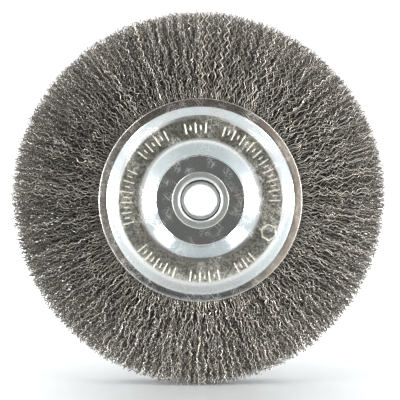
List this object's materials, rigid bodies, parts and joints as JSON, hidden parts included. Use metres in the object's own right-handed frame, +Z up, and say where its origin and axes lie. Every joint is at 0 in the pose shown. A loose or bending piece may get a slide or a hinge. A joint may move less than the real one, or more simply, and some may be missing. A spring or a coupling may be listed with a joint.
{
  "type": "wire wheel brush",
  "caption": "Crimped wire wheel brush for a bench grinder: a ring of steel wire clamped between pressed side plates, with an eyelet hub and a loose reducer bush.",
  "frame": {"origin": "middle of the arbor bore, on the wheel's mid-plane", "axes": "+Y along the spin axis, out of the plain rear side; the marked front side faces -Y; +Z up and +X to the right as the front shows the wheel"},
  "size_m": [0.15, 0.019, 0.15],
  "materials": {
    "zinc_plate": "bright zinc plate on pressed sheet, faintly mottled",
    "eyelet_steel": "satin zinc plate, turned",
    "bush_steel": "turned bright",
    "plain_steel": "plain drawn steel",
    "brush_wire": "crimped carbon steel wire, lightly oiled"
  },
  "bodies": {
    "wheel": {"front_side_plate": "zinc_plate", "rear_side_plate": "zinc_plate", "hub_eyelet": "eyelet_steel", "spacer_ring": "plain_steel", "retaining_ring": "plain_steel", "wire_bundle_01": "brush_wire", "wire_bundle_02": "brush_wire", "wire_bundle_03": "brush_wire", "wire_bundle_04": "brush_wire", "wire_bundle_05": "brush_wire", "wire_bundle_06": "brush_wire", "wire_bundle_07": "brush_wire", "wire_bundle_08": "brush_wire", "wire_bundle_09": "brush_wire", "wire_bundle_10": "brush_wire", "wire_bundle_11": "brush_wire", "wire_bundle_12": "brush_wire", "wire_bundle_13": "brush_wire", "wire_bundle_14": "brush_wire", "wire_bundle_15": "brush_wire", "wire_bundle_16": "brush_wire", "wire_bundle_17": "brush_wire", "wire_bundle_18": "brush_wire", "wire_bundle_19": "brush_wire", "wire_bundle_20": "brush_wire", "wire_bundle_21": "brush_wire", "wire_bundle_22": "brush_wire", "wire_bundle_23": "brush_wire", "wire_bundle_24": "brush_wire"},
    "reducer": {"reducer_bush": "bush_steel"}
  },
  "joints": [
    {"name": "reducer_slide", "type": "slide", "parent": "wheel", "child": "reducer", "axis": [0, -1, 0], "range_m": [0, 0.02]}
  ]
}
